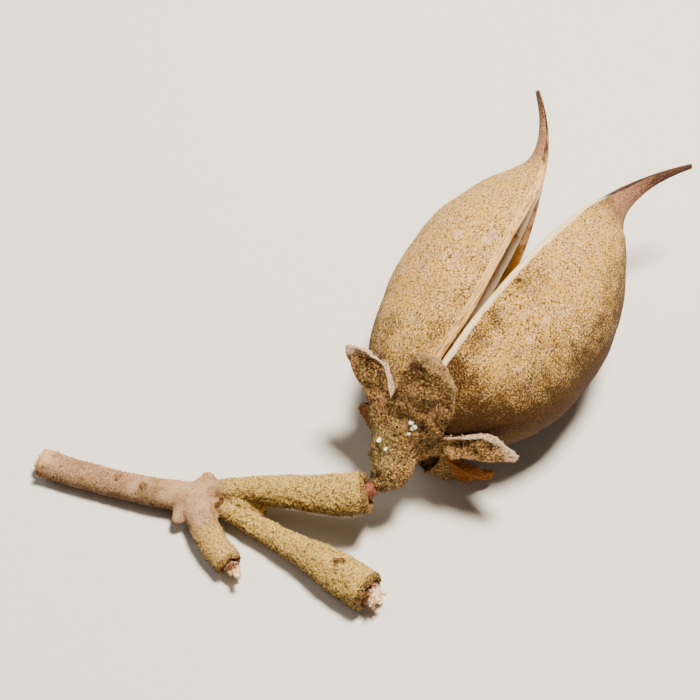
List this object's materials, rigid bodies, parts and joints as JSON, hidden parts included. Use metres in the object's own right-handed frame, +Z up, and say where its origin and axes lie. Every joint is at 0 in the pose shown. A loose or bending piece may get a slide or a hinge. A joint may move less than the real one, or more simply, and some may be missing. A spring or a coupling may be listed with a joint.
{
  "type": "paulownia seed pod",
  "caption": "Ripe woody seed capsule split open along its seam, with curled beaks, a thick lobed calyx and a torn forked stalk, lying on its side.",
  "frame": {"origin": "under the middle of the whole piece, on the surface that it lies on", "axes": "+Z up, +X to the right and +Y away, as seen by somebody who looks at the open seam with the stalk on the left"},
  "size_m": [0.0778, 0.0628, 0.0229],
  "materials": {
    "capsule": "fine brown felt, speckled, matte",
    "calyx": "rough, warty and woolly, matte",
    "bark": "granular and woolly, matte",
    "neck": "bare, fibrous, satin",
    "torn_wood": "pale, splintered, matte"
  },
  "bodies": {
    "root": {"valve_right": "capsule", "valve_left": "capsule", "calyx": "calyx", "stalk": "bark", "neck": "neck", "wood_core_stem": "torn_wood", "wood_core_short": "torn_wood", "wood_core_long": "torn_wood"}
  },
  "joints": []
}
